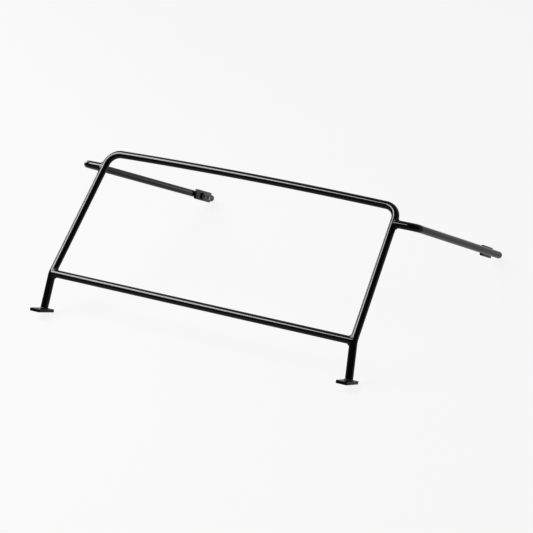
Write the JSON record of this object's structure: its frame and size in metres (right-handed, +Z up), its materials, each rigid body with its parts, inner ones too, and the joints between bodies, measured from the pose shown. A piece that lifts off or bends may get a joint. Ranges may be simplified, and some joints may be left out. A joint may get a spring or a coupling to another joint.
{
  "type": "headache rack",
  "caption": "Welded round-tube rack for a pickup bed: hoop with crowned top rail, lower cross bar, two side arms running back and down, foot pads and end plates.",
  "frame": {"origin": "middle of the rack's footprint, on the surface that it stands on", "axes": "+X across the truck to the rack's right, +Y along the arms towards the tail, +Z up"},
  "size_m": [1.9026, 1.8502, 0.708],
  "materials": {
    "tube": "gloss black powder coat on round steel tube",
    "plate": "gloss black powder coat on flat bar and plate",
    "weld": "gloss black powder coat over weld beads",
    "zinc": "bright zinc-plated screw"
  },
  "bodies": {
    "root": {"arm_left": "tube", "arm_plug_left": "plate", "arm_plug_right": "plate", "arm_right": "tube", "cross_bar": "tube", "end_plate_left": "plate", "end_plate_right": "plate", "foot_pad_left": "plate", "foot_pad_right": "plate", "hoop_tube": "tube", "plate_boss_left": "plate", "plate_boss_right": "plate", "plate_screw_left": "zinc", "plate_screw_right": "zinc", "weld_arm_left": "weld", "weld_arm_right": "weld", "weld_cross_left": "weld", "weld_cross_right": "weld", "weld_leg_left": "weld", "weld_leg_right": "weld", "weld_plate_lower_left": "weld", "weld_plate_lower_right": "weld", "weld_plate_upper_left": "weld", "weld_plate_upper_right": "weld"}
  },
  "joints": []
}
